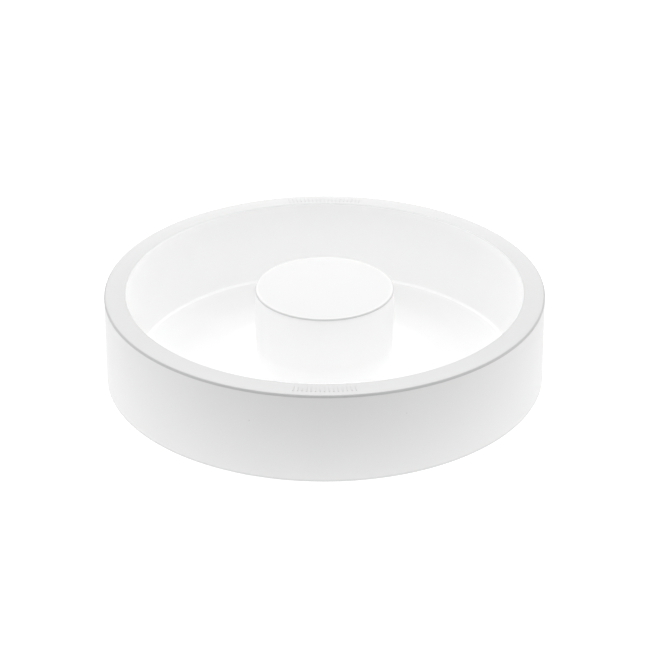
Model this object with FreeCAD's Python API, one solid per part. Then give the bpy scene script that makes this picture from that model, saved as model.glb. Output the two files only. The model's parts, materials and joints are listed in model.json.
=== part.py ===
"""Lazy susan turntable: a ring-shaped tray with a round hub, turning on a ball bearing inside the hub.

Millimetres, +Z up. The origin is on the table, under the middle of the hub, which is the turning axis.
"""

import FreeCAD, Part
import math
import os

V = FreeCAD.Vector
UP = V(0, 0, 1)

# ---- Tray: the sizes that are seen -------------------------------------------------
well_diameter = 200.0      # across the well, inside the rim
rim_width = 11.0           # rim, from the well to the outer wall
rim_fall = 0.5             # the rim slopes down this much to the outside
skirt_draft = 0.3          # how much the outer wall's radius grows from rim to skirt
wall_height = 46.6         # skirt's lower edge to the rim's outer edge
skirt_gap = 1.2            # table to the skirt's lower edge
hub_diameter = 70.0
hub_rise = 0.4             # rim's outer edge up to the hub's top
floor_lift = 5.3           # skirt's lower edge to the floor's top
well_draft = 3.8           # how much the well's radius shrinks from rim to floor

rim_outer_fillet = 1.0
rim_inner_fillet = 0.5
skirt_edge_fillet = 0.5    # skirt's lower edge
floor_fillet = 1.6         # floor to wall
hub_foot_fillet = 1.5      # floor to hub
hub_edge_fillet = 0.6      # round the hub's top

# ---- Tray: the shell underneath ----------------------------------------------------
shell_wall = 2.5
floor_thickness = 2.0
hub_wall = 3.0
web_thickness = 3.0        # inner web that closes the hub tube and carries the bearing
web_boss_length = 2.0      # boss below the web, inside the upper race
web_rib_count = 6
web_rib_height = 1.4
web_rib_thickness = 1.6
channel_rib_count = 24     # ribs between the skirt and the well's wall
channel_rib_thickness = 1.4
channel_rib_lift = 3.0     # skirt's lower edge to the ribs' lower edge

# Rows of small raised ribs on the rim, front and back, that mark the grip
grip_front_count = 15
grip_back_count = 19
grip_rib_spacing = 2.1     # between neighbours, along the rim
grip_rib_width = 0.8
grip_rib_length = 4.4      # along the radius
grip_rib_relief = 0.25
grip_rib_inset = 2.8       # well's edge to the ribs' inner ends

# ---- Hub cap -----------------------------------------------------------------------
cap_edge_thickness = 1.0   # what is seen at the hub's side, above the joint
cap_thickness = 1.9
cap_fit = 0.1              # spigot to hub tube, on radius
cap_spigot_wall = 1.8
cap_spigot_room = 0.6      # spigot's end to the web's ribs
cap_snap_count = 6
cap_snap_gap = 5.0         # slot between neighbouring snap fingers
cap_bead = 0.3
cap_bead_height = 1.2
cap_bead_room = 0.1        # groove round the bead
cap_rib_height = 0.8
cap_rib_thickness = 1.6

# ---- Ball thrust bearing -----------------------------------------------------------
ball_diameter = 6.0
ball_count = 12
ball_pitch_radius = 16.5
ball_room = 0.1            # ball to groove
race_width = 9.0           # bore to rim, on radius
race_thickness = 2.8
race_groove_depth = 1.3
race_fit = 0.05            # race on its boss, on radius
race_edge = 0.4
cage_thickness = 2.4
cage_margin = 1.2          # pocket to the cage's edge, across the ball's pocket
cage_pocket_room = 0.15

# ---- Centre screw, bush and washer -------------------------------------------------
shoulder_diameter = 8.0
thread_diameter = 6.0
thread_length = 9.0
thread_fit = 0.05
screw_head_diameter = 13.0
screw_head_height = 2.8
hex_socket_width = 4.0     # across flats
hex_socket_depth = 1.6
head_room = 0.7            # screw's head to the hub cap
bush_fit = 0.06            # running fit on the shoulder
bush_wall = 2.5
bush_flange_width = 3.0
bush_flange_thickness = 1.0
washer_diameter = 15.0
washer_thickness = 1.0
washer_fit = 0.05
float_gap = 0.2            # tray's up and down play, at the washer

# ---- Bearing post ------------------------------------------------------------------
post_diameter = 48.0
post_wall = 3.0
post_deck = 3.0
post_boss_rise = 2.0       # boss above the deck, inside the lower race
post_lip_rise = 1.2        # lip round the lower race
post_lip_room = 0.15
insert_wall = 1.6
insert_length = 9.0
insert_boss_wall = 2.4
post_rib_thickness = 2.0

# ---- Guide ring round the post's foot ----------------------------------------------
guide_fit = 0.08           # running fit on the post
guide_height = 6.0
guide_shoulder = 1.2       # step in the hub tube that the ring seats on
guide_slot_count = 12
guide_slot_width = 3.0
guide_slot_depth = 2.6
guide_web = 1.8            # ring's wall left outside each slot

# ---- Base plate, feet and post screws ----------------------------------------------
base_diameter = 176.0
base_lift = 1.4            # table to the plate's underside
base_thickness = 2.4
base_skin = 1.1
base_rim = 2.4
base_rib_thickness = 1.8
base_rib_count = 12
base_ring_radius = 54.0
base_edge_fillet = 0.6
register_height = 2.0      # raised ring that centres the post
register_wall = 2.0
register_fit = 0.1

foot_count = 6
foot_diameter = 16.0
foot_circle_radius = 74.0
foot_pocket_depth = 1.2
foot_pocket_room = 0.1
foot_boss_wall = 2.6
foot_edge_fillet = 0.5

post_screw_count = 4
post_screw_circle = 15.5   # radius
post_screw_diameter = 3.0
post_screw_length = 11.0
post_screw_head_diameter = 5.8
post_screw_head_height = 1.7
post_screw_fit = 0.05
post_screw_boss_wall = 2.3
post_screw_recess = 0.15   # plate's underside to the screw's head
cross_slot_width = 0.9
cross_slot_length = 3.4
cross_slot_depth = 0.9

# ---- Worked out from the sizes above -----------------------------------------------
well_radius = well_diameter / 2
outer_radius = well_radius + rim_width
skirt_radius = outer_radius + skirt_draft
floor_radius = well_radius - well_draft
hub_radius = hub_diameter / 2
tube_radius = hub_radius - hub_wall

skirt_z = skirt_gap
rim_z = skirt_z + wall_height
rim_inner_z = rim_z + rim_fall
floor_z = skirt_z + floor_lift
under_floor_z = floor_z - floor_thickness
hub_z = rim_z + hub_rise
tube_top_z = hub_z - cap_edge_thickness
cap_under_z = hub_z - cap_thickness

base_under_z = base_lift
base_top_z = base_under_z + base_thickness

screw_head_top_z = cap_under_z - head_room
screw_head_z = screw_head_top_z - screw_head_height
washer_z = screw_head_z - washer_thickness
bush_top_z = washer_z - float_gap
web_top_z = bush_top_z - bush_flange_thickness
web_under_z = web_top_z - web_thickness
spigot_low_z = web_top_z + web_rib_height + cap_spigot_room

ball_radius = ball_diameter / 2
race_inner_radius = ball_pitch_radius - race_width / 2
race_outer_radius = ball_pitch_radius + race_width / 2
groove_radius = ball_radius + ball_room
ball_z = web_under_z - race_thickness + race_groove_depth - groove_radius
deck_z = ball_z - groove_radius + race_groove_depth - race_thickness
race_boss_radius = race_inner_radius - race_fit

shoulder_radius = shoulder_diameter / 2
thread_radius = thread_diameter / 2
bush_bore_radius = shoulder_radius + bush_fit
bush_radius = bush_bore_radius + bush_wall
bush_under_z = web_under_z - web_boss_length

post_radius = post_diameter / 2
post_bore_radius = post_radius - post_wall
post_boss_z = deck_z + post_boss_rise
insert_bore_radius = thread_radius + thread_fit
insert_radius = insert_bore_radius + insert_wall
insert_boss_radius = insert_radius + insert_boss_wall
insert_under_z = post_boss_z - insert_length

guide_bore_radius = post_radius + guide_fit
guide_radius = tube_radius + guide_shoulder
guide_top_z = under_floor_z + guide_height


def turned(points):
    """A solid turned about Z from an outline of (radius, height) points."""
    corners = [V(r, 0, z) for r, z in points]
    face = Part.Face(Part.makePolygon(corners + corners[:1]))
    return face.revolve(V(0, 0, 0), UP, 360)


def ring(inner, outer, low, high):
    """A flat ring, or a disc where the inner radius is zero."""
    solid = Part.makeCylinder(outer, high - low, V(0, 0, low))
    if inner > 0:
        solid = solid.cut(Part.makeCylinder(inner, high - low, V(0, 0, low)))
    return solid


def around(shape, count, start=0.0):
    """Copies of a shape spread evenly round the turning axis."""
    copies = []
    for index in range(count):
        copy = shape.copy()
        copy.rotate(V(0, 0, 0), UP, start + index * 360.0 / count)
        copies.append(copy)
    return copies


def spoke(inner, outer, thickness, low, high):
    """A straight radial rib along +X."""
    return Part.makeBox(outer - inner, thickness, high - low, V(inner, -thickness / 2, low))


def circle_edges(solid, radius, height):
    """The circular edges about the turning axis at one radius and height."""
    found = []
    for edge in solid.Edges:
        if not isinstance(edge.Curve, Part.Circle):
            continue
        centre = edge.Curve.Center
        on_axis = math.hypot(centre.x, centre.y) < 0.001
        if on_axis and abs(edge.Curve.Radius - radius) < 0.001 and abs(centre.z - height) < 0.001:
            found.append(edge)
    return found


def joined(solid, others):
    """One solid from overlapping ones, with leftover seams removed."""
    return solid.fuse(others).removeSplitter()


def make_tray():
    """The one-piece shell: skirt, rim, well wall, floor, hub tube and its inner web."""
    well_back_radius = floor_radius + shell_wall
    channel_top_radius = well_radius + shell_wall
    skirt_inner_radius = outer_radius - shell_wall
    rim_under_z = rim_z - shell_wall
    tray = turned([
        (bush_radius, bush_under_z),
        (race_boss_radius, bush_under_z),
        (race_boss_radius, web_under_z),
        (tube_radius, web_under_z),
        (tube_radius, guide_top_z),
        (guide_radius, guide_top_z),
        (guide_radius, under_floor_z),
        (well_back_radius, under_floor_z),
        (channel_top_radius, rim_under_z),
        (skirt_inner_radius, rim_under_z),
        (skirt_radius - shell_wall, skirt_z),
        (skirt_radius, skirt_z),
        (outer_radius, rim_z),
        (well_radius, rim_inner_z),
        (floor_radius, floor_z),
        (hub_radius, floor_z),
        (hub_radius, tube_top_z),
        (tube_radius, tube_top_z),
        (tube_radius, web_top_z),
        (bush_radius, web_top_z),
    ])
    for radius, height, size in (
        (outer_radius, rim_z, rim_outer_fillet),
        (well_radius, rim_inner_z, rim_inner_fillet),
        (skirt_radius, skirt_z, skirt_edge_fillet),
        (floor_radius, floor_z, floor_fillet),
        (hub_radius, floor_z, hub_foot_fillet),
    ):
        tray = tray.makeFillet(size, circle_edges(tray, radius, height))

    groove_z = spigot_low_z - cap_bead_room
    groove = ring(0, tube_radius - cap_fit + cap_bead + cap_bead_room, groove_z,
                  groove_z + cap_bead_height + 2 * cap_bead_room)
    tray = tray.cut(groove)

    channel_rib = spoke(floor_radius + shell_wall / 2, outer_radius - shell_wall / 2,
                        channel_rib_thickness, skirt_z + channel_rib_lift, rim_z - shell_wall / 2)
    lean_cut = turned([
        (0, skirt_z), (floor_radius + shell_wall / 2, skirt_z),
        (floor_radius + shell_wall / 2, under_floor_z),
        (well_radius + shell_wall / 2, rim_z - shell_wall / 2), (0, rim_z - shell_wall / 2),
    ])
    channel_rib = channel_rib.cut(lean_cut)
    web_rib = spoke(bush_radius + bush_flange_width + 0.6, tube_radius + hub_wall / 2,
                    web_rib_thickness, web_top_z - web_thickness / 2, web_top_z + web_rib_height)
    return joined(tray, around(channel_rib, channel_rib_count)
                  + around(web_rib, web_rib_count) + grip_ribs())


def grip_ribs():
    """Two rows of small raised ribs on the sloping rim, at the front and at the back."""
    from_well = grip_rib_inset + grip_rib_length / 2
    middle_radius = well_radius + from_well
    middle_z = rim_inner_z - rim_fall * from_well / rim_width
    step = math.degrees(grip_rib_spacing / middle_radius)
    rib = Part.makeBox(grip_rib_length, grip_rib_width, grip_rib_relief * 2,
                       V(-grip_rib_length / 2, -grip_rib_width / 2, -grip_rib_relief))
    upright = [edge for edge in rib.Edges if abs(edge.tangentAt(edge.FirstParameter).z) > 0.99]
    rib = rib.makeFillet(grip_rib_width * 0.45, upright)
    rib.rotate(V(0, 0, 0), V(0, 1, 0), math.degrees(math.atan2(rim_fall, rim_width)))
    rib.translate(V(middle_radius, 0, middle_z))
    ribs = []
    for side, count in ((-90.0, grip_front_count), (90.0, grip_back_count)):
        for index in range(count):
            copy = rib.copy()
            copy.rotate(V(0, 0, 0), UP, side + (index - (count - 1) / 2) * step)
            ribs.append(copy)
    return ribs


def make_hub_cap():
    """The hub's round top: a disc with a ring of snap fingers that grip inside the hub tube."""
    spigot_radius = tube_radius - cap_fit
    spigot_bore = spigot_radius - cap_spigot_wall
    cap = turned([
        (0, cap_under_z), (spigot_bore, cap_under_z), (spigot_bore, spigot_low_z),
        (spigot_radius, spigot_low_z),
        (spigot_radius + cap_bead, spigot_low_z + cap_bead),
        (spigot_radius + cap_bead, spigot_low_z + cap_bead_height - cap_bead),
        (spigot_radius, spigot_low_z + cap_bead_height),
        (spigot_radius, tube_top_z), (hub_radius, tube_top_z), (hub_radius, hub_z), (0, hub_z),
    ])
    cap = cap.makeFillet(hub_edge_fillet, circle_edges(cap, hub_radius, hub_z))
    slot = spoke(spigot_bore - 1.0, hub_radius, cap_snap_gap, spigot_low_z - 1.0, cap_under_z)
    slot_angle = 180.0 / cap_snap_count
    cap = cap.cut(Part.makeCompound(around(slot, cap_snap_count, slot_angle)))
    rib = spoke(screw_head_diameter / 2 + 2.0, spigot_bore + cap_spigot_wall / 2, cap_rib_thickness,
                cap_under_z - cap_rib_height, cap_under_z + cap_thickness / 2)
    return joined(cap, around(rib, cap_snap_count))


def make_race(plain_z, groove_side):
    """One grooved bearing washer. groove_side is 1 where the groove faces up, -1 where it faces down."""
    faces = sorted((plain_z, plain_z + groove_side * race_thickness))
    race = ring(race_inner_radius, race_outer_radius, faces[0], faces[1])
    edges = []
    for radius in (race_inner_radius, race_outer_radius):
        for height in faces:
            edges += circle_edges(race, radius, height)
    race = race.makeChamfer(race_edge, edges)
    return race.cut(Part.makeTorus(ball_pitch_radius, groove_radius, V(0, 0, ball_z)))


def make_cage():
    """The ring that keeps the balls evenly spaced."""
    half = ball_radius + cage_pocket_room + cage_margin
    cage = ring(ball_pitch_radius - half, ball_pitch_radius + half,
                ball_z - cage_thickness / 2, ball_z + cage_thickness / 2)
    pocket = Part.makeCylinder(ball_radius + cage_pocket_room, cage_thickness,
                               V(ball_pitch_radius, 0, ball_z - cage_thickness / 2))
    return cage.cut(Part.makeCompound(around(pocket, ball_count)))


def make_balls():
    """One steel ball for each pocket of the cage."""
    ball = Part.makeSphere(ball_radius, V(ball_pitch_radius, 0, ball_z))
    return around(ball, ball_count)


def make_shoulder_screw():
    """The centre screw: thread, ground shoulder and a low head with a hexagon socket."""
    tip = 0.6
    screw = turned([
        (0, post_boss_z - thread_length), (thread_radius - tip, post_boss_z - thread_length),
        (thread_radius, post_boss_z - thread_length + tip), (thread_radius, post_boss_z),
        (shoulder_radius, post_boss_z), (shoulder_radius, screw_head_z),
        (screw_head_diameter / 2, screw_head_z), (screw_head_diameter / 2, screw_head_top_z - tip),
        (screw_head_diameter / 2 - tip, screw_head_top_z), (0, screw_head_top_z),
    ])
    corner = hex_socket_width / math.sqrt(3)
    corners = []
    for index in range(6):
        turn = math.radians(60 * index)
        corners.append(V(corner * math.cos(turn), corner * math.sin(turn), screw_head_top_z))
    socket = Part.Face(Part.makePolygon(corners + corners[:1])).extrude(V(0, 0, -hex_socket_depth))
    return screw.cut(socket)


def make_thrust_washer():
    """The washer under the screw's head."""
    return ring(shoulder_radius + washer_fit, washer_diameter / 2, washer_z, screw_head_z)


def make_centre_bush():
    """The flanged bush that turns on the screw's shoulder."""
    return turned([
        (bush_bore_radius, bush_under_z), (bush_radius, bush_under_z), (bush_radius, web_top_z),
        (bush_radius + bush_flange_width, web_top_z), (bush_radius + bush_flange_width, bush_top_z),
        (bush_bore_radius, bush_top_z),
    ])


def make_threaded_insert():
    """The brass insert that takes the centre screw, with two grooves that lock it in the post."""
    insert = ring(insert_bore_radius, insert_radius, insert_under_z, post_boss_z)
    groove_depth = insert_wall / 4
    groove_height = insert_length / 9
    for share in (0.3, 0.6):
        low = insert_under_z + share * insert_length
        insert = insert.cut(ring(insert_radius - groove_depth, insert_radius + 1, low, low + groove_height))
    return insert


def make_guide_ring():
    """The plain bearing ring pressed into the hub's mouth, slotted from below to save weight."""
    guide = ring(guide_bore_radius, guide_radius, under_floor_z, guide_top_z)
    slot_outer = guide_radius - guide_web
    slot = spoke(slot_outer - guide_slot_depth, slot_outer, guide_slot_width,
                 under_floor_z, guide_top_z - guide_web)
    return guide.cut(Part.makeCompound(around(slot, guide_slot_count)))


def screw_places():
    """Angles of the post screws, in degrees."""
    return [45.0 + index * 360.0 / post_screw_count for index in range(post_screw_count)]


def at_angle(shape, angle):
    """A turned copy of a shape."""
    copy = shape.copy()
    copy.rotate(V(0, 0, 0), UP, angle)
    return copy


def make_bearing_post():
    """The hollow post: outer wall, deck, insert boss, screw bosses and the ribs between them."""
    post = turned([
        (post_bore_radius, base_top_z), (post_radius, base_top_z), (post_radius, deck_z + post_lip_rise),
        (race_outer_radius + post_lip_room, deck_z + post_lip_rise),
        (race_outer_radius + post_lip_room, deck_z), (race_boss_radius, deck_z),
        (race_boss_radius, post_boss_z), (insert_radius, post_boss_z), (insert_radius, insert_under_z),
        (insert_boss_radius, insert_under_z), (insert_boss_radius, deck_z - post_deck),
        (post_bore_radius, deck_z - post_deck),
    ])
    boss_radius = post_screw_diameter / 2 + post_screw_boss_wall
    boss = Part.makeCylinder(boss_radius, deck_z - post_deck / 2 - base_top_z,
                             V(post_screw_circle, 0, base_top_z))
    rib = spoke(insert_boss_radius - 1.0, post_bore_radius + post_wall / 2, post_rib_thickness,
                insert_under_z, deck_z - post_deck / 2)
    added = [at_angle(boss, angle) for angle in screw_places()]
    added += [at_angle(rib, angle) for angle in screw_places()]
    post = joined(post, added)
    hole = Part.makeCylinder(post_screw_diameter / 2 + post_screw_fit, post_screw_length,
                             V(post_screw_circle, 0, base_under_z))
    return post.cut(Part.makeCompound([at_angle(hole, angle) for angle in screw_places()]))


def make_post_screws():
    """The four countersunk screws that pull the post onto the base plate."""
    head_z = base_under_z + post_screw_recess
    radius = post_screw_diameter / 2
    head_radius = post_screw_head_diameter / 2
    screw = turned([
        (0, head_z), (head_radius, head_z), (head_radius, head_z + 0.2),
        (radius, head_z + post_screw_head_height), (radius, base_under_z + post_screw_length - 1.0),
        (radius - 0.6, base_under_z + post_screw_length - post_screw_fit),
        (0, base_under_z + post_screw_length - post_screw_fit),
    ])
    bar = Part.makeBox(cross_slot_length, cross_slot_width, cross_slot_depth,
                       V(-cross_slot_length / 2, -cross_slot_width / 2, head_z))
    bars = [bar, at_angle(bar, 90.0)]
    screw = screw.cut(Part.makeCompound(bars))
    screw.translate(V(post_screw_circle, 0, 0))
    return Part.makeCompound([at_angle(screw, angle) for angle in screw_places()])


def make_base_plate():
    """The low plate: a thin skin with a rim, rings and spokes below, foot bosses and a post register."""
    base_radius = base_diameter / 2
    hub_disc_radius = post_radius + base_rim
    plate = ring(0, base_radius, base_top_z - base_skin, base_top_z)
    plate = plate.makeFillet(base_edge_fillet, circle_edges(plate, base_radius, base_top_z))
    below = [
        ring(base_radius - base_rim, base_radius, base_under_z, base_top_z - base_skin),
        ring(base_ring_radius - base_rib_thickness / 2, base_ring_radius + base_rib_thickness / 2,
             base_under_z, base_top_z - base_skin),
        ring(0, hub_disc_radius, base_under_z, base_top_z - base_skin),
    ]
    below += around(spoke(hub_disc_radius - 1.0, base_radius - base_rim / 2, base_rib_thickness,
                          base_under_z, base_top_z - base_skin / 2),
                    base_rib_count, 180.0 / base_rib_count)
    foot_boss = Part.makeCylinder(foot_diameter / 2 + foot_pocket_room + foot_boss_wall,
                                  base_top_z - base_skin / 2 - base_under_z,
                                  V(foot_circle_radius, 0, base_under_z))
    below += around(foot_boss, foot_count)
    register_outer = post_bore_radius - register_fit
    register_inner = register_outer - register_wall
    below.append(ring(register_inner, register_outer, base_top_z - base_skin / 2,
                      base_top_z + register_height))
    plate = joined(plate, below)

    pocket = Part.makeCylinder(foot_diameter / 2 + foot_pocket_room, foot_pocket_depth,
                               V(foot_circle_radius, 0, base_under_z))
    plate = plate.cut(Part.makeCompound(around(pocket, foot_count)))

    shank = post_screw_diameter / 2 + post_screw_fit
    head = post_screw_head_diameter / 2 + post_screw_fit
    head_z = base_under_z + post_screw_recess
    sink = turned([
        (0, base_under_z), (head, base_under_z), (head, head_z + 0.2),
        (shank, head_z + post_screw_head_height), (shank, base_top_z), (0, base_top_z),
    ])
    boss_room = Part.makeCylinder(post_screw_diameter / 2 + post_screw_boss_wall + register_fit,
                                  register_height, V(0, 0, base_top_z))
    for angle in screw_places():
        for tool in (sink, boss_room):
            placed = tool.copy()
            placed.translate(V(post_screw_circle, 0, 0))
            plate = plate.cut(at_angle(placed, angle))
    return plate


def make_feet():
    """The soft round feet, each pressed into its pocket."""
    foot = Part.makeCylinder(foot_diameter / 2, base_under_z + foot_pocket_depth,
                             V(foot_circle_radius, 0, 0))
    lower = [edge for edge in foot.Edges
             if isinstance(edge.Curve, Part.Circle) and abs(edge.Curve.Center.z) < 0.001]
    return around(foot.makeFillet(foot_edge_fillet, lower), foot_count)


def save(name, shape):
    """Check one piece and write it as its own STEP file."""
    if not shape.isValid() or not shape.Solids:
        raise ValueError(name + " is not a valid solid")
    shape.exportStep("parts/" + name + ".step")
    print(f"{name:16s} solids {len(shape.Solids)}  {shape.Volume / 1000:8.2f} cm3")


def main():
    os.makedirs("parts", exist_ok=True)
    pieces = {
        "tray": make_tray(),
        "hub_cap": make_hub_cap(),
        "upper_race": make_race(web_under_z, -1),
        "lower_race": make_race(deck_z, 1),
        "ball_cage": make_cage(),
        "centre_bush": make_centre_bush(),
        "shoulder_screw": make_shoulder_screw(),
        "thrust_washer": make_thrust_washer(),
        "threaded_insert": make_threaded_insert(),
        "bearing_post": make_bearing_post(),
        "guide_ring": make_guide_ring(),
        "post_screws": make_post_screws(),
        "base_plate": make_base_plate(),
    }
    for index, ball in enumerate(make_balls(), 1):
        pieces[f"ball_{index}"] = ball
    for index, foot in enumerate(make_feet(), 1):
        pieces[f"foot_{index}"] = foot
    for name, shape in pieces.items():
        save(name, shape)
    print(f"ball centre z {ball_z:.2f}, post deck z {deck_z:.2f}, hub top z {hub_z:.2f}")


main()
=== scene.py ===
import bpy
import bmesh
import json
import math
from mathutils import Matrix, Quaternion, Vector, noise


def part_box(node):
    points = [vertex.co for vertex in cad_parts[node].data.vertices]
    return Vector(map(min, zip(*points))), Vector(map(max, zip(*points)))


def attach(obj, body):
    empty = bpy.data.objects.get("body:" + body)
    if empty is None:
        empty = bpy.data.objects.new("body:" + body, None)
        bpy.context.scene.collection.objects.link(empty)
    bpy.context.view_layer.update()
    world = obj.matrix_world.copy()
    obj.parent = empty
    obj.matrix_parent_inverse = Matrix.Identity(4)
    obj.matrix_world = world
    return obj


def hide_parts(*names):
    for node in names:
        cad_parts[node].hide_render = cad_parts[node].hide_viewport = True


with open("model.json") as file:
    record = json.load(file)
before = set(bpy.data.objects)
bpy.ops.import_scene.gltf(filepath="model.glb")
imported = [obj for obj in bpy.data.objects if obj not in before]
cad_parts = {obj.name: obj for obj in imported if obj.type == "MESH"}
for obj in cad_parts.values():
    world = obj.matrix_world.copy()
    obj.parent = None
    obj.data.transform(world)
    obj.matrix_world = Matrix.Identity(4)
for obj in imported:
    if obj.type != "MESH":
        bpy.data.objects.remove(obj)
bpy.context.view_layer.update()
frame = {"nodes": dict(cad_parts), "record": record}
mm = 0.001
print("frame loaded")


# where the pieces stand, read from the frame
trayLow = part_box("tray")[0]
capLow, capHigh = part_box("hub_cap")
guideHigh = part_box("guide_ring")[1]
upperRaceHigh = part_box("upper_race")[1]
bushLow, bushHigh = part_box("centre_bush")


def arcPoints(before, corner, after, rounding, steps):
    # points of the rounding at one corner of an outline
    a = (before - corner).normalized()
    b = (after - corner).normalized()
    half = math.acos(max(-1, min(1, a.dot(b)))) / 2
    reach = rounding / math.tan(half)
    centre = corner + (a + b).normalized() * (rounding / math.sin(half))
    start = corner + a * reach - centre
    end = corner + b * reach - centre
    turn = start.angle_signed(end)
    points = []
    for step in range(steps + 1):
        angle = -turn * step / steps
        c, s = math.cos(angle), math.sin(angle)
        points.append(centre + Vector((start.x * c - start.y * s, start.x * s + start.y * c)))
    return points


def roundedOutline(corners, arcSteps=6, longestRun=3 * mm):
    # closed outline from (radius, height, rounding) corners, long runs cut into short ones
    places = [Vector((r, z)) for r, z, rounding in corners]
    rough = []
    for i, (r, z, rounding) in enumerate(corners):
        if rounding > 0:
            following = places[(i + 1) % len(places)]
            rough += arcPoints(places[i - 1], places[i], following, rounding, arcSteps)
        else:
            rough.append(places[i])
    outline = []
    for i, point in enumerate(rough):
        following = rough[(i + 1) % len(rough)]
        cuts = max(1, math.ceil((following - point).length / longestRun))
        outline += [point.lerp(following, cut / cuts) for cut in range(cuts)]
    return outline


def turnedMesh(name, outline, sides, fromAngle=0.0, sweep=2 * math.pi):
    # outline turned about the axis, closed all round or with flat ends
    whole = sweep > 2 * math.pi - 0.0001
    bm = bmesh.new()
    rows = []
    for index in range(sides if whole else sides + 1):
        angle = fromAngle + sweep * index / sides
        c, s = math.cos(angle), math.sin(angle)
        row = []
        for at, point in enumerate(outline):
            onAxis = point.x < 0.001 * mm
            if onAxis and rows:
                row.append(rows[0][at])
            else:
                row.append(bm.verts.new((point.x * c, point.x * s, point.y)))
        rows.append(row)
    pairs = list(zip(rows, rows[1:])) + ([(rows[-1], rows[0])] if whole else [])
    for a, b in pairs:
        for at in range(len(outline)):
            ahead = (at + 1) % len(outline)
            ring = []
            for vert in (a[at], b[at], b[ahead], a[ahead]):
                if vert not in ring:
                    ring.append(vert)
            if len(ring) > 2:
                bm.faces.new(ring)
    if not whole:
        bm.faces.new(rows[0])
        bm.faces.new(list(reversed(rows[-1])))
    bmesh.ops.recalc_face_normals(bm, faces=bm.faces)
    return objectFrom(name, bm)


def objectFrom(name, bm):
    mesh = bpy.data.meshes.new(name)
    bm.to_mesh(mesh)
    bm.free()
    made = bpy.data.objects.new(name, mesh)
    bpy.context.scene.collection.objects.link(made)
    return made


def barMesh(bars):
    # radial bars, each with its angle, ends, thickness and heights
    # a bar may lean inwards at its foot, or slope down outwards
    bm = bmesh.new()
    for bar in bars:
        inner, outer, low, high = bar["inner"], bar["outer"], bar["low"], bar["high"]
        size = Vector((outer - inner, bar["thickness"], high - low))
        middle = Vector(((outer + inner) / 2, 0, (high + low) / 2))
        made = bmesh.ops.create_cube(bm, size=1, matrix=Matrix.Diagonal((*size, 1)))["verts"]
        for vert in made:
            if vert.co.x < 0 and vert.co.z < 0:
                vert.co.x -= bar.get("lean", 0)
        if bar.get("rounding", 0) > 0:
            edges = {edge for vert in made for edge in vert.link_edges}
            rounded = bmesh.ops.bevel(
                bm, geom=list(edges), offset=bar["rounding"], segments=3, affect="EDGES")
            made = list({vert for face in rounded["faces"] for vert in face.verts})
        place = Matrix.Rotation(bar["angle"], 4, "Z") @ Matrix.Translation(middle)
        bmesh.ops.transform(bm, matrix=place @ Matrix.Rotation(bar.get("slope", 0), 4, "Y"), verts=made)
    return objectFrom("bars", bm)


def combine(target, tool):
    # joins one closed mesh with another and drops the second
    modifier = target.modifiers.new("combine", "BOOLEAN")
    modifier.operation = "UNION"
    modifier.solver = "MANIFOLD"
    modifier.object = tool
    shown = target.evaluated_get(bpy.context.evaluated_depsgraph_get())
    mesh = bpy.data.meshes.new_from_object(shown)
    target.modifiers.clear()
    mesh.materials.clear()
    target.data = mesh
    bpy.data.objects.remove(tool)


def soften(made, sharpAngle=32):
    # smooth shading, with sharp edges left where the faces meet steeply
    made.data.shade_smooth()
    made.data.set_sharp_from_angle(angle=math.radians(sharpAngle))


def unevenness(made, height, size):
    # the slight waviness that a moulded shell has as it cools
    for vert in made.data.vertices:
        radial = Vector((vert.co.x, vert.co.y, 0)).normalized()
        vert.co += radial * (noise.noise(vert.co / size) * height)


def newGroup(name, inputs, outputs):
    # a shader group with its named inputs and outputs
    group = bpy.data.node_groups.new(name, "ShaderNodeTree")
    for label, kind, value in inputs:
        socket = group.interface.new_socket(name=label, in_out="INPUT", socket_type=kind)
        socket.default_value = value
    for label, kind in outputs:
        group.interface.new_socket(name=label, in_out="OUTPUT", socket_type=kind)
    return group, group.nodes.new("NodeGroupInput"), group.nodes.new("NodeGroupOutput")


def mathNode(tree, operation, a, b=None):
    node = tree.nodes.new("ShaderNodeMath")
    node.operation = operation
    for socket, value in zip(node.inputs, (a, b)):
        if value is None:
            continue
        if isinstance(value, (int, float)):
            socket.default_value = value
        else:
            tree.links.new(value, socket)
    return node.outputs[0]


def spread(tree, value, fromLow, fromHigh, toLow, toHigh):
    node = tree.nodes.new("ShaderNodeMapRange")
    node.interpolation_type = "SMOOTHSTEP"
    for label, given in (("Value", value), ("From Min", fromLow), ("From Max", fromHigh),
                         ("To Min", toLow), ("To Max", toHigh)):
        if isinstance(given, (int, float)):
            node.inputs[label].default_value = given
        else:
            tree.links.new(given, node.inputs[label])
    return node.outputs["Result"]


def noiseNode(tree, vector, scale, detail, roughness):
    node = tree.nodes.new("ShaderNodeTexNoise")
    tree.links.new(vector, node.inputs["Vector"])
    tree.links.new(scale, node.inputs["Scale"])
    node.inputs["Detail"].default_value = detail
    node.inputs["Roughness"].default_value = roughness
    return node.outputs["Fac"]


def mixColour(tree, factor, a, b):
    node = tree.nodes.new("ShaderNodeMix")
    node.data_type = "RGBA"
    for socket, value in ((node.inputs[0], factor), (node.inputs[6], a), (node.inputs[7], b)):
        if isinstance(value, tuple):
            socket.default_value = value
        else:
            tree.links.new(value, socket)
    return node.outputs[2]


def objectPlace(tree):
    return tree.nodes.new("ShaderNodeTexCoord").outputs["Object"]


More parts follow.
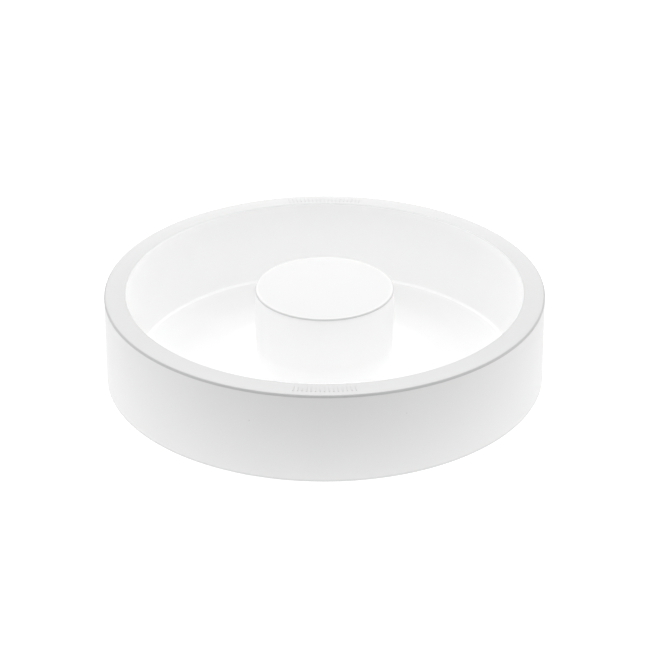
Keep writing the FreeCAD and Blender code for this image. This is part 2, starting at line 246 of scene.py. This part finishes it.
def makeMouldGrain():
    # fine texture of a spark-eroded mould, with broad cloudiness
    group, given, out = newGroup("mouldGrain", [
        ("Grain Scale", "NodeSocketFloat", 2600.0), ("Cloud Scale", "NodeSocketFloat", 45.0),
        ("Roughness", "NodeSocketFloat", 0.45), ("Roughness Spread", "NodeSocketFloat", 0.08),
    ], [("Height", "NodeSocketFloat"), ("Roughness", "NodeSocketFloat"), ("Cloud", "NodeSocketFloat")])
    place = objectPlace(group)
    grain = noiseNode(group, place, given.outputs["Grain Scale"], 4.0, 0.6)
    cloud = noiseNode(group, place, given.outputs["Cloud Scale"], 3.0, 0.55)
    swing = mathNode(group, "MULTIPLY", mathNode(group, "SUBTRACT", cloud, 0.5),
                     given.outputs["Roughness Spread"])
    fine = mathNode(group, "MULTIPLY", mathNode(group, "SUBTRACT", grain, 0.5), 0.06)
    rough = mathNode(group, "ADD", mathNode(group, "ADD", given.outputs["Roughness"], swing), fine)
    group.links.new(grain, out.inputs["Height"])
    group.links.new(rough, out.inputs["Roughness"])
    group.links.new(cloud, out.inputs["Cloud"])
    return group


def makeToneAndLightBlend():
    # blends a darker and a brighter colour by a level, swung by cloudiness; on the shell the level is
    # painted light and shade, on the hidden plastics a fixed tone
    group, given, out = newGroup("toneAndLightBlend", [
        ("Darker Tone", "NodeSocketColor", (0.7, 0.7, 0.7, 1)),
        ("Bright", "NodeSocketColor", (0.95, 0.95, 0.95, 1)),
        ("Tone And Painted Light", "NodeSocketFloat", 0.5), ("Cloud", "NodeSocketFloat", 0.5),
        ("Cloud Strength", "NodeSocketFloat", 0.04),
    ], [("Color", "NodeSocketColor")])
    swing = mathNode(group, "MULTIPLY", mathNode(group, "SUBTRACT", given.outputs["Cloud"], 0.5),
                     given.outputs["Cloud Strength"])
    toneAndPaintedLight = mathNode(group, "ADD", given.outputs["Tone And Painted Light"], swing)
    body = mixColour(group, toneAndPaintedLight, given.outputs["Darker Tone"], given.outputs["Bright"])
    group.links.new(body, out.inputs["Color"])
    return group


def makeSpeck():
    # one tiny dark speck at a place, as dust in the melt leaves it
    group, given, out = newGroup("meltSpeck", [
        ("Place", "NodeSocketVector", (0.0, 0.0, 0.0)), ("Size", "NodeSocketFloat", 0.5 * mm),
        ("Depth", "NodeSocketFloat", 0.5),
    ], [("Mask", "NodeSocketFloat")])
    apart = group.nodes.new("ShaderNodeVectorMath")
    apart.operation = "DISTANCE"
    group.links.new(objectPlace(group), apart.inputs[0])
    group.links.new(given.outputs["Place"], apart.inputs[1])
    soft = spread(group, apart.outputs["Value"], 0.0, given.outputs["Size"], 1.0, 0.0)
    group.links.new(mathNode(group, "MULTIPLY", soft, given.outputs["Depth"]), out.inputs["Mask"])
    return group


def makeRingMark():
    # a narrow ring mask about the turning axis, where shade is painted along a tight edge and glow at a
    # corner
    group, given, out = newGroup("ringMark", [
        ("Radius", "NodeSocketFloat", 0.1), ("Height", "NodeSocketFloat", 0.0),
        ("Core", "NodeSocketFloat", 0.5 * mm), ("Reach", "NodeSocketFloat", 1.0 * mm),
        ("Depth", "NodeSocketFloat", 1.0),
    ], [("Mask", "NodeSocketFloat")])
    parts = group.nodes.new("ShaderNodeSeparateXYZ")
    group.links.new(objectPlace(group), parts.inputs[0])
    x, y, z = parts.outputs
    squared = mathNode(group, "ADD", mathNode(group, "MULTIPLY", x, x), mathNode(group, "MULTIPLY", y, y))
    across = mathNode(group, "SUBTRACT", mathNode(group, "SQRT", squared), given.outputs["Radius"])
    along = mathNode(group, "SUBTRACT", z, given.outputs["Height"])
    apart = mathNode(group, "SQRT", mathNode(group, "ADD", mathNode(group, "MULTIPLY", across, across),
                                             mathNode(group, "MULTIPLY", along, along)))
    soft = spread(group, apart, given.outputs["Core"], given.outputs["Reach"], 1.0, 0.0)
    group.links.new(mathNode(group, "MULTIPLY", soft, given.outputs["Depth"]), out.inputs["Mask"])
    return group


def makeTurningMarks():
    # fine rings left by a lathe tool about the turning axis, with light scratches
    group, given, out = newGroup("turningMarks", [
        ("Ring Scale", "NodeSocketFloat", 1800.0), ("Scratch Scale", "NodeSocketFloat", 700.0),
        ("Roughness", "NodeSocketFloat", 0.25),
    ], [("Height", "NodeSocketFloat"), ("Roughness", "NodeSocketFloat")])
    place = objectPlace(group)
    parts = group.nodes.new("ShaderNodeSeparateXYZ")
    group.links.new(place, parts.inputs[0])
    squared = mathNode(group, "ADD", mathNode(group, "MULTIPLY", parts.outputs[0], parts.outputs[0]),
                       mathNode(group, "MULTIPLY", parts.outputs[1], parts.outputs[1]))
    radius = mathNode(group, "SQRT", squared)
    reach = mathNode(group, "ADD", radius, parts.outputs[2])
    rings = mathNode(group, "SINE", mathNode(group, "MULTIPLY", reach, given.outputs["Ring Scale"]))
    wear = noiseNode(group, place, given.outputs["Scratch Scale"], 5.0, 0.7)
    height = mathNode(group, "ADD", mathNode(group, "MULTIPLY", rings, 0.3), wear)
    rough = mathNode(group, "ADD", given.outputs["Roughness"],
                     mathNode(group, "MULTIPLY", mathNode(group, "SUBTRACT", wear, 0.5), 0.2))
    group.links.new(height, out.inputs["Height"])
    group.links.new(rough, out.inputs["Roughness"])
    return group


mouldGrain = makeMouldGrain()
toneAndLightBlend = makeToneAndLightBlend()
meltSpeck = makeSpeck()
ringMark = makeRingMark()
turningMarks = makeTurningMarks()
print("shader groups made")


def newMaterial(name):
    material = bpy.data.materials.new(name)
    material.use_nodes = True
    return material, material.node_tree, material.node_tree.nodes["Principled BSDF"]


def placeGroup(tree, group, values):
    node = tree.nodes.new("ShaderNodeGroup")
    node.node_tree = group
    for label, value in values.items():
        if isinstance(value, bpy.types.NodeSocket):
            tree.links.new(value, node.inputs[label])
        else:
            node.inputs[label].default_value = value
    return node


def addBump(tree, shader, height, strength, distance):
    bump = tree.nodes.new("ShaderNodeBump")
    bump.inputs["Strength"].default_value = strength
    bump.inputs["Distance"].default_value = distance
    tree.links.new(height, bump.inputs["Height"])
    tree.links.new(bump.outputs["Normal"], shader.inputs["Normal"])


def grey(level):
    return (level, level, level, 1)


milkyShell = {
    "paintedShade": grey(0.58), "bright": grey(0.985), "edge": grey(0.52),
    "grainScale": 2600.0, "cloudScale": 38.0, "roughness": 0.42, "roughnessSpread": 0.10,
    "bumpStrength": 0.10, "bumpDistance": 0.05 * mm, "cloudStrength": 0.05,
    "subsurface": 0.25, "subsurfaceRadius": (1.0, 1.0, 1.0), "subsurfaceScale": 2.2 * mm,
    # painted shade: darker rings along the tight edges, standing in for the shade on the roundings and at
    # the skirt's foot: radius, height, core, reach, depth
    "edges": (
        (110.86 * mm, 47.36 * mm, 0.50 * mm, 0.95 * mm, 0.96),
        (100.45 * mm, 48.28 * mm, 0.30 * mm, 0.80 * mm, 0.60),
        (34.76 * mm, 47.94 * mm, 0.25 * mm, 0.65 * mm, 0.50),
        (111.25 * mm, 1.50 * mm, 0.35 * mm, 1.30 * mm, 0.40),
    ),
    # painted glow at the floor's edge and the hub's foot: bright emission rings standing in for light
    # coming through the shell
    "paintedGlowRings": (
        (96.0 * mm, 6.8 * mm, 0.25 * mm, 0.9 * mm, 0.09),
        (35.5 * mm, 7.0 * mm, 2.0 * mm, 14.0 * mm, 0.07),
    ),
    "speckColour": grey(0.25), "speckSize": 0.55 * mm, "specks": (
        ((-35.7 * mm, -105.4 * mm, 31.6 * mm), 0.5), ((38.7 * mm, -104.4 * mm, 34.7 * mm), 0.55),
    ),
}


def placeRing(tree, ring):
    radius, height, core, reach, deep = ring
    return placeGroup(tree, ringMark, {
        "Radius": radius, "Height": height, "Core": core, "Reach": reach, "Depth": deep}).outputs["Mask"]


def makeMilkyShell():
    look = milkyShell
    material, tree, shader = newMaterial("milkyShell")
    # the per-point level of painted light and shade
    toneAndPaintedLight = tree.nodes.new("ShaderNodeAttribute")
    toneAndPaintedLight.attribute_name = "toneAndPaintedLight"
    grain = placeGroup(tree, mouldGrain, {
        "Grain Scale": look["grainScale"], "Cloud Scale": look["cloudScale"],
        "Roughness": look["roughness"], "Roughness Spread": look["roughnessSpread"]})
    # painted light and shade: the level blends the shell from the darker to the brighter grey
    depth = placeGroup(tree, toneAndLightBlend, {
        "Darker Tone": look["paintedShade"], "Bright": look["bright"], "Tone And Painted Light": toneAndPaintedLight.outputs["Fac"],
        "Cloud": grain.outputs["Cloud"], "Cloud Strength": look["cloudStrength"]})
    colour = depth.outputs["Color"]
    # painted shade along the rim's edges, the hub's edge and the skirt's foot
    for edge in look["edges"]:
        colour = mixColour(tree, placeRing(tree, edge), colour, look["edge"])
    for place, deep in look["specks"]:
        speck = placeGroup(tree, meltSpeck, {"Place": place, "Size": look["speckSize"], "Depth": deep})
        colour = mixColour(tree, speck.outputs["Mask"], colour, look["speckColour"])
    tree.links.new(colour, shader.inputs["Base Color"])
    tree.links.new(grain.outputs["Roughness"], shader.inputs["Roughness"])
    addBump(tree, shader, grain.outputs["Height"], look["bumpStrength"], look["bumpDistance"])
    # painted glow: the shell emits light along these rings, though it is no lamp
    glow = grey(0.0)
    for corner in look["paintedGlowRings"]:
        glow = mixColour(tree, placeRing(tree, corner), glow, grey(1.0))
    tree.links.new(glow, shader.inputs["Emission Color"])
    shader.inputs["Emission Strength"].default_value = 1.0
    shader.inputs["Subsurface Weight"].default_value = look["subsurface"]
    shader.inputs["Subsurface Radius"].default_value = look["subsurfaceRadius"]
    shader.inputs["Subsurface Scale"].default_value = look["subsurfaceScale"]
    return material


# what the hidden plastics share, and each slot's own look
plainPlastic = {
    "cloudScale": 90.0, "roughnessSpread": 0.12, "shade": 0.9, "toneAndPaintedLight": 0.7, "cloudStrength": 0.8,
    "bumpDistance": 0.1 * mm, "subsurfaceRadius": (1.0, 0.9, 0.8), "subsurfaceScale": 1.5 * mm,
}
plastics = {
    "base_plastic": {
        "name": "whiteBasePlastic", "colour": grey(0.80), "roughness": 0.5,
        "grainScale": 1800.0, "bump": 0.25, "subsurface": 0.1,
    },
    "bush_plastic": {
        "name": "naturalAcetal", "colour": (0.78, 0.77, 0.73, 1), "roughness": 0.3,
        "grainScale": 1200.0, "bump": 0.1, "subsurface": 0.3,
    },
    "cage_plastic": {
        "name": "naturalNylon", "colour": (0.72, 0.68, 0.55, 1), "roughness": 0.35,
        "grainScale": 1400.0, "bump": 0.12, "subsurface": 0.3,
    },
    "foot_rubber": {
        "name": "paleRubber", "colour": grey(0.56), "roughness": 0.8,
        "grainScale": 900.0, "bump": 0.5, "subsurface": 0.0,
    },
}


def shaded(colour, shade):
    return tuple(part * shade for part in colour[:3]) + (1,)


def makePlastic(name, colour, roughness, grainScale, bump, subsurface):
    # moulded plastic or rubber of a hidden piece
    look = plainPlastic
    material, tree, shader = newMaterial(name)
    grain = placeGroup(tree, mouldGrain, {
        "Grain Scale": grainScale, "Cloud Scale": look["cloudScale"],
        "Roughness": roughness, "Roughness Spread": look["roughnessSpread"]})
    depth = placeGroup(tree, toneAndLightBlend, {
        "Darker Tone": shaded(colour, look["shade"]), "Bright": colour, "Tone And Painted Light": look["toneAndPaintedLight"],
        "Cloud": grain.outputs["Cloud"], "Cloud Strength": look["cloudStrength"]})
    tree.links.new(depth.outputs["Color"], shader.inputs["Base Color"])
    tree.links.new(grain.outputs["Roughness"], shader.inputs["Roughness"])
    addBump(tree, shader, grain.outputs["Height"], bump, look["bumpDistance"])
    shader.inputs["Subsurface Weight"].default_value = subsurface
    shader.inputs["Subsurface Radius"].default_value = look["subsurfaceRadius"]
    shader.inputs["Subsurface Scale"].default_value = look["subsurfaceScale"]
    return material


# what the metals share, and each slot's own look
turnedMetal = {
    "scratchScale": 900.0, "grainScale": 1500.0, "cloudScale": 160.0, "roughnessSpread": 0.1,
    "shade": 0.82, "bumpDistance": 0.02 * mm,
}
metals = {
    "bearing_steel": {
        "name": "groundBearingSteel", "colour": (0.60, 0.60, 0.61, 1), "roughness": 0.24,
        "ringScale": 9000.0, "bump": 0.2,
    },
    "ball_steel": {
        "name": "polishedBallSteel", "colour": (0.74, 0.74, 0.75, 1), "roughness": 0.07,
        "ringScale": 15000.0, "bump": 0.02,
    },
    "screw_steel": {
        "name": "zincPlatedSteel", "colour": (0.68, 0.70, 0.72, 1), "roughness": 0.32,
        "ringScale": 7000.0, "bump": 0.25,
    },
    "insert_brass": {
        "name": "turnedBrass", "colour": (0.80, 0.60, 0.28, 1), "roughness": 0.28,
        "ringScale": 8000.0, "bump": 0.3,
    },
}


def makeMetal(name, colour, roughness, ringScale, bump):
    # turned, ground or plated metal of a hidden piece
    look = turnedMetal
    material, tree, shader = newMaterial(name)
    marks = placeGroup(tree, turningMarks, {
        "Ring Scale": ringScale, "Scratch Scale": look["scratchScale"], "Roughness": roughness})
    tint = placeGroup(tree, mouldGrain, {
        "Grain Scale": look["grainScale"], "Cloud Scale": look["cloudScale"],
        "Roughness": roughness, "Roughness Spread": look["roughnessSpread"]})
    surface = mixColour(tree, tint.outputs["Cloud"], shaded(colour, look["shade"]), colour)
    tree.links.new(surface, shader.inputs["Base Color"])
    tree.links.new(marks.outputs["Roughness"], shader.inputs["Roughness"])
    addBump(tree, shader, marks.outputs["Height"], bump, look["bumpDistance"])
    shader.inputs["Metallic"].default_value = 1.0
    return material


shellMaterial = makeMilkyShell()
cadMaterials = {slot: makePlastic(**values) for slot, values in plastics.items()}
cadMaterials.update({slot: makeMetal(**values) for slot, values in metals.items()})
slotOf = {part["node"]: part["material_slot"] for part in frame["record"]["subparts"]}
for node, piece in frame["nodes"].items():
    if slotOf[node] in cadMaterials:
        piece.data.materials.clear()
        piece.data.materials.append(cadMaterials[slotOf[node]])
print("materials made")


tray = {
    "skirtRadius": 111.3 * mm, "outerRadius": 111.0 * mm, "wellRadius": 100.0 * mm,
    "floorRadius": 96.2 * mm, "floorTop": 6.5 * mm, "floorThickness": 2.0 * mm, "shellWall": 2.5 * mm,
    "hubRadius": capHigh.x, "hubWall": 3.0 * mm, "hubRise": 0.4 * mm, "rimFall": 0.5 * mm,
    "gripRelief": 0.25 * mm, "gripFront": 15, "gripBack": 19, "gripSpacing": 2.1 * mm,
    "gripWidth": 0.8 * mm, "gripLength": 4.4 * mm, "gripInset": 2.8 * mm, "gripRooting": 0.6 * mm,
    "gripRounding": 0.22 * mm,
    "rimRounding": 1.0 * mm, "rimInnerRounding": 0.5 * mm, "skirtRounding": 0.5 * mm,
    "floorRounding": 1.6 * mm, "hubFootRounding": 1.5 * mm, "seamRounding": 0.12 * mm,
    "webRounding": 0.5 * mm, "webTopRounding": 0.4 * mm, "underFloorRounding": 0.6 * mm,
    "channelRounding": 0.8 * mm, "skirtInnerRounding": 0.3 * mm,
    "grooveDepth": 0.3 * mm, "grooveHeight": 1.4 * mm, "grooveRoom": 0.1 * mm,
    "channelRibCount": 24, "channelRibThickness": 1.4 * mm, "channelRibLift": 3.0 * mm,
    "webRibCount": 6, "webRibThickness": 1.6 * mm, "webRibHeight": 1.4 * mm, "webRibRooting": 1.0 * mm,
    "bushFlangeRise": 1.0 * mm, "bushWall": 3.0 * mm, "raceBoss": 11.95 * mm, "capSeamDrop": 1.0 * mm,
    "webRibGap": 0.6 * mm, "waviness": 0.05 * mm, "waveSize": 30 * mm, "sides": 288,
}
rimTop = capHigh.z - tray["hubRise"]
rimInnerTop = rimTop + tray["rimFall"]
skirtLow = trayLow.z
hubSeam = capHigh.z - tray["capSeamDrop"]
tubeRadius = tray["hubRadius"] - tray["hubWall"]
underFloor = tray["floorTop"] - tray["floorThickness"]
webLow = upperRaceHigh.z
webTop = bushHigh.z - tray["bushFlangeRise"]


def trayOutline():
    t = tray
    wellBack = t["floorRadius"] + t["shellWall"]
    channelTop = t["wellRadius"] + t["shellWall"]
    bushRadius = bushHigh.x - t["bushWall"]
    rimUnder = rimTop - t["shellWall"]
    grooveLow = capLow.z - t["grooveRoom"]
    grooveHigh = grooveLow + t["grooveHeight"]
    return roundedOutline([
        (bushRadius, bushLow.z, 0), (t["raceBoss"], bushLow.z, 0), (t["raceBoss"], webLow, 0),
        (tubeRadius, webLow, t["webRounding"]), (tubeRadius, guideHigh.z, 0),
        (guideHigh.x, guideHigh.z, 0), (guideHigh.x, underFloor, 0),
        (wellBack, underFloor, t["underFloorRounding"]), (channelTop, rimUnder, t["channelRounding"]),
        (t["outerRadius"] - t["shellWall"], rimUnder, t["channelRounding"]),
        (t["skirtRadius"] - t["shellWall"], skirtLow, t["skirtInnerRounding"]),
        (t["skirtRadius"], skirtLow, t["skirtRounding"]), (t["outerRadius"], rimTop, t["rimRounding"]),
        (t["wellRadius"], rimInnerTop, t["rimInnerRounding"]),
        (t["floorRadius"], t["floorTop"], t["floorRounding"]),
        (t["hubRadius"], t["floorTop"], t["hubFootRounding"]),
        (t["hubRadius"], hubSeam, t["seamRounding"]), (tubeRadius, hubSeam, t["seamRounding"]),
        (tubeRadius, grooveHigh, 0),
        (tubeRadius + t["grooveDepth"], grooveHigh, 0), (tubeRadius + t["grooveDepth"], grooveLow, 0),
        (tubeRadius, grooveLow, 0), (tubeRadius, webTop, t["webTopRounding"]), (bushRadius, webTop, 0),
    ])


def gripBars():
    t = tray
    fromWell = t["gripInset"] + t["gripLength"] / 2
    middle = t["wellRadius"] + fromWell
    height = rimInnerTop - t["rimFall"] * fromWell / (t["outerRadius"] - t["wellRadius"])
    bars = []
    for side, count in ((-math.pi / 2, t["gripFront"]), (math.pi / 2, t["gripBack"])):
        for index in range(count):
            bars.append({
                "angle": side + (index - (count - 1) / 2) * t["gripSpacing"] / middle,
                "inner": middle - t["gripLength"] / 2, "outer": middle + t["gripLength"] / 2,
                "low": height - t["gripRooting"], "high": height + t["gripRelief"],
                "thickness": t["gripWidth"], "rounding": t["gripRounding"],
                "slope": math.atan2(t["rimFall"], t["outerRadius"] - t["wellRadius"]),
            })
    return bars


def hiddenBars():
    t = tray
    bars = []
    for index in range(t["channelRibCount"]):
        bars.append({
            "angle": index * 2 * math.pi / t["channelRibCount"], "thickness": t["channelRibThickness"],
            "inner": t["wellRadius"] + t["shellWall"] / 2, "outer": t["outerRadius"] - t["shellWall"] / 2,
            "lean": t["wellRadius"] - t["floorRadius"],
            "low": skirtLow + t["channelRibLift"], "high": rimTop - t["shellWall"] / 2,
        })
    for index in range(t["webRibCount"]):
        bars.append({
            "angle": index * 2 * math.pi / t["webRibCount"], "thickness": t["webRibThickness"],
            "inner": bushHigh.x + t["webRibGap"], "outer": tubeRadius + t["hubWall"] / 2,
            "low": webTop - t["webRibRooting"], "high": webTop + t["webRibHeight"],
        })
    return bars


def between(points, value):
    # value read off a line through (place, level) points
    for (a, low), (b, high) in zip(points, points[1:]):
        if value <= b:
            return low + (high - low) * max(0.0, (value - a) / (b - a))
    return points[-1][1]


# painted light and shade on the shell: levels from the darker to the brighter grey, lighter in the well,
# on the floor and on the hub, darker on the rim and towards the top of the outer wall
toneAndPaintedLight = {
    # how far from each edge one zone gives way to the next
    "rimInset": 0.3 * mm, "rimDrop": 0.1 * mm, "wellInset": 0.6 * mm, "hubOutset": 0.8 * mm,
    "seamRise": 0.1 * mm,
    # (place, level) pairs, by height on the walls and by radius on the flats
    "outer": ((1.2 * mm, 0.53), (47.8 * mm, 0.45)),
    "rim": ((100 * mm, 0.01), (110 * mm, 0.09)),
    "well": ((6.5 * mm, 0.98), (30 * mm, 0.93), (48.3 * mm, 0.87)),
    "floor": (
        (36 * mm, 1.0), (39 * mm, 0.86), (46 * mm, 0.66), (58 * mm, 0.43),
        (75 * mm, 0.50), (90 * mm, 0.74), (94 * mm, 0.82), (95.5 * mm, 1.0),
    ),
    "hub": ((6.5 * mm, 1.0), (25 * mm, 0.97), (47.2 * mm, 0.94)),
    "hubTop": ((0 * mm, 0.20), (30 * mm, 0.20), (33 * mm, 0.22), (34.5 * mm, 0.36)),
}


def paintedLightAt(point):
    # painted brightness of the shell at one place, standing in for the light and shade that fall there
    t = tray
    r = math.hypot(point.x, point.y)
    z = point.z
    if r > t["wellRadius"] + toneAndPaintedLight["rimInset"] and z > rimTop - toneAndPaintedLight["rimDrop"]:
        return between(toneAndPaintedLight["rim"], r)
    if r > t["wellRadius"] + t["shellWall"] / 2:
        return between(toneAndPaintedLight["outer"], z)
    if r > t["floorRadius"] - toneAndPaintedLight["wellInset"]:
        return between(toneAndPaintedLight["well"], z)
    if r > t["hubRadius"] + toneAndPaintedLight["hubOutset"]:
        return between(toneAndPaintedLight["floor"], r)
    if z < hubSeam + toneAndPaintedLight["seamRise"]:
        return between(toneAndPaintedLight["hub"], z)
    return between(toneAndPaintedLight["hubTop"], r)


def paintLightAndShade(made):
    # stores the painted light and shade levels on the points
    layer = made.data.attributes.new("toneAndPaintedLight", "FLOAT", "POINT")
    layer.data.foreach_set("value", [paintedLightAt(vert.co) for vert in made.data.vertices])


def makeTray():
    made = turnedMesh("trayShell", trayOutline(), tray["sides"])
    unevenness(made, tray["waviness"], tray["waveSize"])
    combine(made, barMesh(gripBars()))
    combine(made, barMesh(hiddenBars()))
    paintLightAndShade(made)
    soften(made)
    made.data.materials.append(shellMaterial)
    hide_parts("tray")
    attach(made, "turntable")


makeTray()
print("tray made")


hubCap = {
    "thickness": 1.9 * mm, "edgeRounding": 0.6 * mm, "spigotFit": 0.1 * mm, "spigotWall": 1.8 * mm,
    "bead": 0.3 * mm, "beadHeight": 1.2 * mm, "fingers": 6, "fingerGap": 5.0 * mm,
    "fingerSides": 24, "fingerRooting": 0.4 * mm, "tipRounding": 0.3 * mm, "beadRounding": 0.1 * mm,
    "ribThickness": 1.6 * mm, "ribHeight": 0.8 * mm, "ribStart": 8.5 * mm, "ribRooting": 0.5 * mm,
    "ribOverlap": 0.6 * mm, "spigotMargin": 0.5 * mm, "spigotRounding": 0.15 * mm, "sides": 240,
}


def makeHubCap():
    h = hubCap
    under = capHigh.z - h["thickness"]
    spigot = tubeRadius - h["spigotFit"]
    bore = spigot - h["spigotWall"]
    made = turnedMesh("hubTop", roundedOutline([
        (0, under, 0), (bore - h["spigotMargin"], under, 0), (spigot, under, 0),
        (spigot, hubSeam, h["spigotRounding"]), (tray["hubRadius"], hubSeam, tray["seamRounding"]),
        (tray["hubRadius"], capHigh.z, h["edgeRounding"]), (0, capHigh.z, 0),
    ], arcSteps=8, longestRun=1.5 * mm), h["sides"])
    gap = h["fingerGap"] / spigot
    for index in range(h["fingers"]):
        start = (index - 0.5) * 2 * math.pi / h["fingers"] + gap / 2
        finger = turnedMesh("finger", roundedOutline([
            (bore, capLow.z, h["tipRounding"]), (spigot, capLow.z, 0),
            (spigot + h["bead"], capLow.z + h["bead"], h["beadRounding"]),
            (spigot + h["bead"], capLow.z + h["beadHeight"] - h["bead"], h["beadRounding"]),
            (spigot, capLow.z + h["beadHeight"], 0),
            (spigot, under + h["fingerRooting"], 0), (bore, under + h["fingerRooting"], 0),
        ], arcSteps=3, longestRun=2 * mm), h["fingerSides"], start, 2 * math.pi / h["fingers"] - gap)
        combine(made, finger)
    combine(made, barMesh([{
        "angle": index * 2 * math.pi / h["fingers"], "thickness": h["ribThickness"],
        "inner": h["ribStart"], "outer": bore + h["ribOverlap"],
        "low": under - h["ribHeight"], "high": under + h["ribRooting"],
    } for index in range(h["fingers"])]))
    paintLightAndShade(made)
    soften(made)
    made.data.materials.append(shellMaterial)
    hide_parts("hub_cap")
    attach(made, "turntable")


makeHubCap()
print("hub cap made")


room = {
    "floorSize": 3.0, "floorColour": grey(0.20), "floorGlow": 0.95,
    "tent": 1.035, "sideLow": 1.35, "sideHigh": -0.20, "sideStart": 0.02, "sideEnd": 0.30,
    # how much dimmer the tent is in front and behind, and between which heights that fades out
    "dips": ((-1.0, 1.035, 0.08, 0.46), (1.0, 0.9, 0.02, 0.22)),
    "softbox": {"size": 0.35, "height": 0.37, "behind": 0.31, "watts": 0.95},
    "paleReach": 0.115, "paleEnd": 0.32, "beyond": grey(0.12),
}


def makeFloor():
    bm = bmesh.new()
    bmesh.ops.create_grid(bm, x_segments=8, y_segments=8, size=room["floorSize"] / 2)
    floor = objectFrom("floor", bm)
    material, tree, shader = newMaterial("paleTable")
    grain = placeGroup(tree, mouldGrain, {
        "Grain Scale": 900.0, "Cloud Scale": 6.0, "Roughness": 0.85, "Roughness Spread": 0.05})
    tree.links.new(grain.outputs["Roughness"], shader.inputs["Roughness"])
    shader.inputs["Base Color"].default_value = room["floorColour"]
    shader.inputs["Specular IOR Level"].default_value = 0.1
    parts = tree.nodes.new("ShaderNodeSeparateXYZ")
    tree.links.new(objectPlace(tree), parts.inputs[0])
    # the floor throws less light further off in front and behind, though it looks pale all over
    apart = mathNode(tree, "ABSOLUTE", parts.outputs[1])
    away = spread(tree, apart, room["paleReach"], room["paleEnd"], 0.0, 1.0)
    seen = tree.nodes.new("ShaderNodeLightPath").outputs["Is Camera Ray"]
    dimmed = mathNode(tree, "MULTIPLY", away, mathNode(tree, "SUBTRACT", 1.0, seen))
    tree.links.new(mixColour(tree, dimmed, grey(1.0), room["beyond"]), shader.inputs["Emission Color"])
    shader.inputs["Emission Strength"].default_value = room["floorGlow"]
    floor.data.materials.append(material)


def makeSky():
    # a white tent, dim low down in front and behind, though it looks white itself
    world = bpy.data.worlds.new("lightTent")
    world.use_nodes = True
    bpy.context.scene.world = world
    tree = world.node_tree
    background = tree.nodes["Background"]
    parts = tree.nodes.new("ShaderNodeSeparateXYZ")
    tree.links.new(tree.nodes.new("ShaderNodeTexCoord").outputs["Generated"], parts.inputs[0])
    x, y, z = parts.outputs
    sideLevel = spread(tree, z, room["sideStart"], room["sideEnd"], room["sideLow"], room["sideHigh"])
    sideways = mathNode(tree, "MULTIPLY", mathNode(tree, "MULTIPLY", x, x), sideLevel)
    level = mathNode(tree, "ADD", sideways, room["tent"])
    for end, dip, dipLow, dipHigh in room["dips"]:
        turned = spread(tree, mathNode(tree, "MULTIPLY", y, end), 0.0, 1.0, 0.0, dip)
        low = spread(tree, z, dipLow, dipHigh, 1.0, 0.0)
        level = mathNode(tree, "SUBTRACT", level, mathNode(tree, "MULTIPLY", turned, low))
    seen = tree.nodes.new("ShaderNodeLightPath").outputs["Is Camera Ray"]
    background.inputs["Color"].default_value = grey(1.0)
    tree.links.new(mathNode(tree, "MAXIMUM", level, seen), background.inputs["Strength"])


def makeSoftbox():
    box = room["softbox"]
    light = bpy.data.lights.new("softbox", "AREA")
    light.shape = "SQUARE"
    light.size = box["size"]
    light.energy = box["watts"]
    lamp = bpy.data.objects.new("softbox", light)
    lamp.location = (0, box["behind"], box["height"])
    lamp.rotation_euler = (-math.atan2(box["behind"], box["height"]), 0, 0)
    bpy.context.scene.collection.objects.link(lamp)


view = {
    "distance": 1.3034, "elevation": 0.5030, "pan": -0.00015, "tilt": 0.0182, "roll": 0.0019,
    "lens": 140.6, "sensor": 36.0,
}


def makeCamera():
    rise = view["elevation"]
    place = Vector((0, -math.cos(rise), math.sin(rise))) * view["distance"]
    ahead = -place.normalized()
    right = Vector((1, 0, 0))
    up = right.cross(ahead)
    turn = Quaternion(up, view["pan"])
    right, ahead = turn @ right, turn @ ahead
    turn = Quaternion(right, view["tilt"])
    up, ahead = turn @ up, turn @ ahead
    turn = Quaternion(ahead, view["roll"])
    right, up = turn @ right, turn @ up
    data = bpy.data.cameras.new("camera")
    data.sensor_width = view["sensor"]
    data.lens = view["lens"]
    data.clip_start = 0.05
    camera = bpy.data.objects.new("camera", data)
    axes = Matrix((right, up, -ahead)).transposed().to_4x4()
    camera.matrix_world = Matrix.Translation(place) @ axes
    bpy.context.scene.collection.objects.link(camera)
    bpy.context.scene.camera = camera


makeFloor()
makeSky()
makeSoftbox()
makeCamera()
bpy.context.scene.view_settings.view_transform = "Standard"
print("stage, light and camera made")
